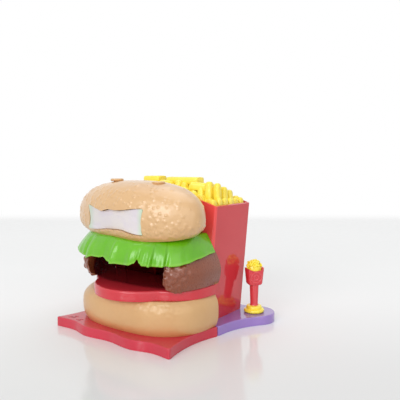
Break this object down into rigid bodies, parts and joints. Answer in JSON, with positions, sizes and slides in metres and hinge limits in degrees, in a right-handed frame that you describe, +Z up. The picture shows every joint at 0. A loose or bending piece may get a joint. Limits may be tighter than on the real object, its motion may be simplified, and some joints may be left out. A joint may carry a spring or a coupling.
{
  "type": "burger and fries play stand",
  "caption": "Moulded plastic play stand in two hinged halves: a burger with an open room on a wavy napkin, and a carton of fries on a lobed base with a swivelling street lamp.",
  "frame": {"origin": "on the floor, at the middle of the seam: the underside of the rear base's front rim", "axes": "+Z up, +Y from the burger towards the carton's back, +X to the right seen from the front"},
  "size_m": [0.1851, 0.163, 0.1559],
  "materials": {
    "napkin_red": "smooth glossy moulded plastic",
    "bun_tan": "satin moulded plastic with a pimpled skin",
    "tomato_red": "smooth glossy moulded plastic",
    "patty_brown": "satin moulded plastic with a pebbled skin",
    "leaf_green": "smooth glossy moulded plastic",
    "sign_white": "worn pale panel, bare",
    "carton_red": "smooth glossy moulded plastic",
    "fries_yellow": "smooth moulded plastic",
    "base_purple": "smooth glossy moulded plastic",
    "lamp_red": "smooth glossy moulded plastic",
    "lamp_yellow": "smooth glossy moulded plastic",
    "steel": "plated steel"
  },
  "bodies": {
    "carton_half": {"rear_base": "base_purple", "fries_carton": "carton_red", "fries_bunch": "fries_yellow", "carton_screws": "steel", "lower_hinge_pin": "steel", "upper_hinge_pin": "steel"},
    "burger_half": {"napkin_base": "napkin_red", "lower_bun": "bun_tan", "tomato_slice": "tomato_red", "patty_ring": "patty_brown", "lettuce_leaf": "leaf_green", "bun_floor": "bun_tan", "upper_bun": "bun_tan", "sign_panel": "sign_white", "left_stud": "bun_tan", "right_stud": "bun_tan", "napkin_screws": "steel", "crown_screws": "steel"},
    "lamp": {"lamp_foot": "lamp_yellow", "lamp_post": "lamp_red", "lamp_fries": "lamp_yellow", "push_nut": "steel"}
  },
  "joints": [
    {"name": "front_swing", "type": "hinge", "parent": "carton_half", "child": "burger_half", "pos_m": [-0.0796, 0, 0], "axis": [0, 0, -1], "range_deg": [0, 120]},
    {"name": "lamp_swivel", "type": "hinge", "parent": "carton_half", "child": "lamp", "pos_m": [0.081, 0.063, 0], "axis": [0, 0, 1], "continuous": true}
  ]
}
